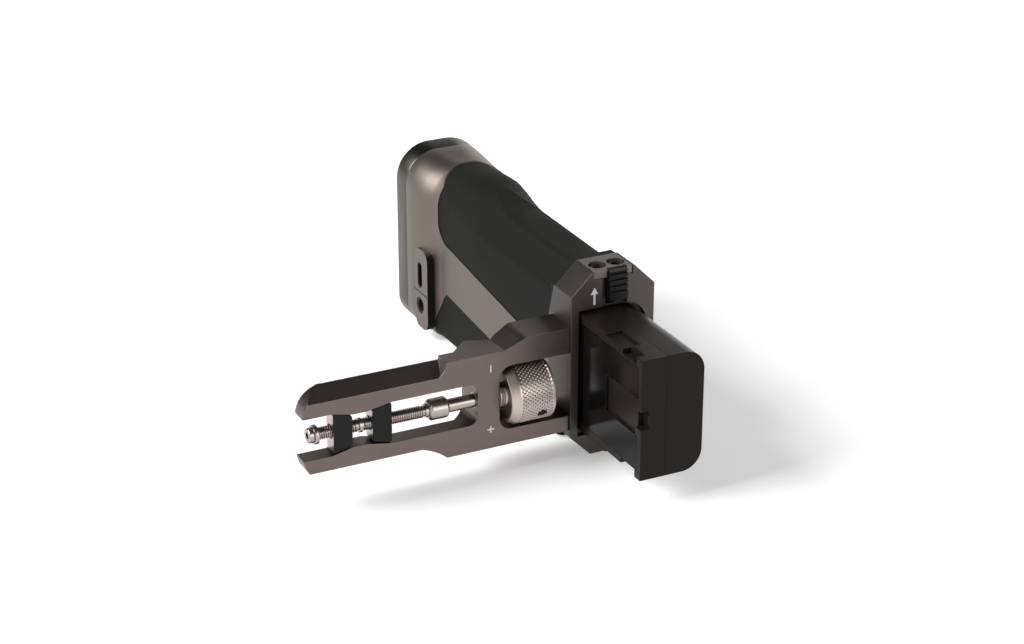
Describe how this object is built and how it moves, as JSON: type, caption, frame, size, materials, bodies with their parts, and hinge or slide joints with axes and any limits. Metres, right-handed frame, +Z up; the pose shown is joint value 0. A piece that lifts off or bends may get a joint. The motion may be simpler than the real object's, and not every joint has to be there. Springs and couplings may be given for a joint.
{
  "type": "camera battery grip",
  "caption": "Side handle with rubber grips that holds a slide-in battery, and a forked clamp arm whose wedge blocks are driven by a thumbwheel.",
  "frame": {"origin": "middle of the lower edge of the collar's end face, on the surface the grip lies on", "axes": "+Y along the handle from the battery mouth to the far cap, -X along the clamp arm, +Z up"},
  "size_m": [0.1134, 0.159, 0.0628],
  "materials": {
    "dark_anodised_aluminium": "satin, dark bronze anodised",
    "light_anodised_aluminium": "satin, bead blasted and anodised",
    "grip_rubber": "matt",
    "battery_plastic": "fine texture",
    "inner_plastic": "matt",
    "machined_steel": "turned",
    "contact_metal": "plated",
    "board_laminate": "solder mask",
    "label_film": "printed film, no text",
    "blackened_steel": "blackened",
    "cell_steel": "plain"
  },
  "bodies": {
    "grip": {"arm_bracket": "light_anodised_aluminium", "arm_screws": "machined_steel", "battery_liner": "inner_plastic", "board_screws": "machined_steel", "circuit_board": "board_laminate", "contact_blades": "contact_metal", "contact_block": "inner_plastic", "cover_screws": "blackened_steel", "end_collar": "dark_anodised_aluminium", "far_cap": "dark_anodised_aluminium", "grip_housing": "dark_anodised_aluminium", "latch_cover": "dark_anodised_aluminium", "lower_grip_pad": "grip_rubber", "neck_ring": "grip_rubber", "remote_jack": "inner_plastic", "shaft_bush": "machined_steel", "upper_grip_pad": "grip_rubber", "usb_c_socket": "machined_steel", "cap_screws": "machined_steel"},
    "wheel": {"thumbwheel": "machined_steel", "wheel_set_screw": "blackened_steel", "thrust_washer": "machined_steel", "wheel_shaft": "machined_steel", "shaft_sleeve": "machined_steel", "clamp_spindle": "machined_steel", "spindle_ring": "machined_steel"},
    "outer_wedge": {"outer_wedge_block": "blackened_steel"},
    "inner_wedge": {"inner_wedge_block": "blackened_steel"},
    "latch": {"latch_slider": "dark_anodised_aluminium"},
    "battery": {"battery_case": "battery_plastic", "battery_base": "battery_plastic", "battery_label": "label_film", "battery_cells": "cell_steel", "battery_terminals": "contact_metal", "battery_lid": "battery_plastic"}
  },
  "joints": [
    {"name": "battery_slide", "type": "slide", "parent": "grip", "child": "battery", "axis": [0, -1, 0], "range_m": [-0.037, 0.038]},
    {"name": "latch_slide", "type": "slide", "parent": "grip", "child": "latch", "axis": [0, 0, -1], "range_m": [0, 0.0025]},
    {"name": "wheel_turn", "type": "hinge", "parent": "grip", "child": "wheel", "pos_m": [0, 0.004, 0.0245], "axis": [1, 0, 0], "range_deg": [0, 1543]},
    {"name": "outer_wedge_slide", "type": "slide", "parent": "grip", "child": "outer_wedge", "axis": [-1, 0, 0], "range_m": [0, 0.00305]},
    {"name": "inner_wedge_slide", "type": "slide", "parent": "grip", "child": "inner_wedge", "axis": [1, 0, 0], "range_m": [0, 0.00305]}
  ],
  "couplings": [
    {"joint": "outer_wedge_slide", "follows": "wheel_turn", "m_per_rad": 0.00011141},
    {"joint": "inner_wedge_slide", "follows": "wheel_turn", "m_per_rad": 0.00011141}
  ]
}
